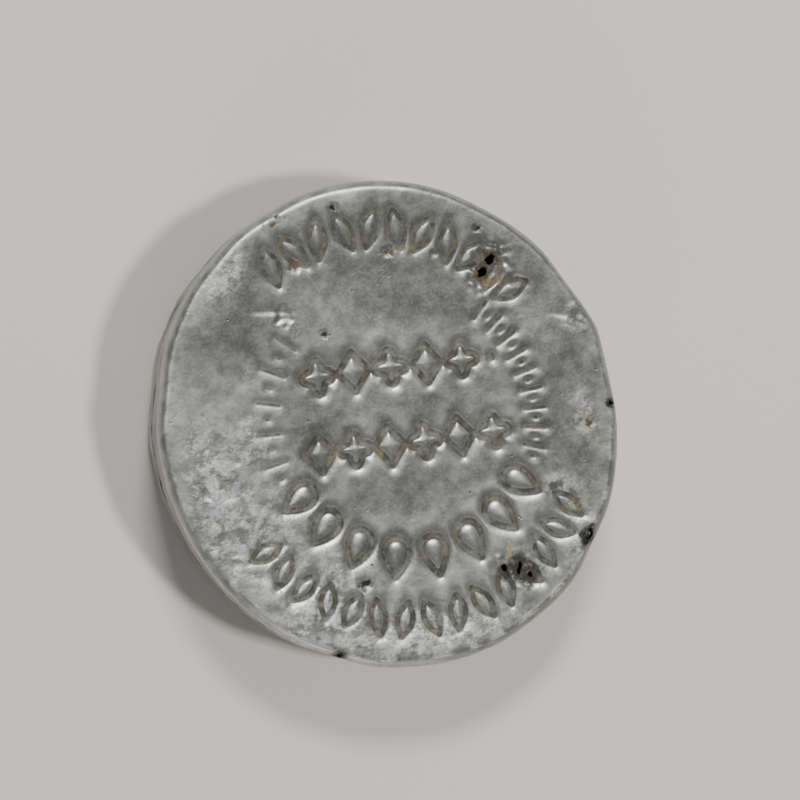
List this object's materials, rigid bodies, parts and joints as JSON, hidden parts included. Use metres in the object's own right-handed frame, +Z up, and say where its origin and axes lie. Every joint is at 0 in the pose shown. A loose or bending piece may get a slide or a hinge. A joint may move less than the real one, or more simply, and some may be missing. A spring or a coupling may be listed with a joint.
{
  "type": "round slip-lid tin",
  "caption": "Small round pressed-aluminium tin: a slip-on lid over a shallow base pan, with a paper slip and a folded paper packet of rolled rubber goods inside.",
  "frame": {"origin": "centre of the base's underside, in the plane of its foot ring", "axes": "+Z up through the lid, along the axis of the round tin; +Y is the upward direction of the two straight rows of stamped marks on the lid, +X to their right"},
  "size_m": [0.058, 0.058, 0.016],
  "materials": {
    "base_aluminium": "dull, scuffed and stained",
    "lid_aluminium": "dull, oxidised, dented and pitted, with soil in the stamped marks",
    "slip_paper": "aged, foxed",
    "wrapper_paper": "waxed, pleated, stained",
    "seal_paper": "gummed, faded",
    "rolled_rubber": "powdered, matt"
  },
  "bodies": {
    "base": {"base_pan": "base_aluminium"},
    "packet": {"paper_wrapper": "wrapper_paper", "wrapper_seal": "seal_paper", "rubber_roll_1": "rolled_rubber", "rubber_roll_2": "rolled_rubber", "rubber_roll_3": "rolled_rubber"},
    "slip": {"paper_slip": "slip_paper"},
    "lid": {"lid": "lid_aluminium"}
  },
  "joints": [
    {"name": "packet_lift", "type": "slide", "parent": "base", "child": "packet", "axis": [0, 0, 1], "range_m": [0, 0.018]},
    {"name": "slip_lift", "type": "slide", "parent": "packet", "child": "slip", "axis": [0, 0, 1], "range_m": [0, 0.015]},
    {"name": "lid_lift", "type": "slide", "parent": "slip", "child": "lid", "axis": [0, 0, 1], "range_m": [0, 0.025]}
  ]
}
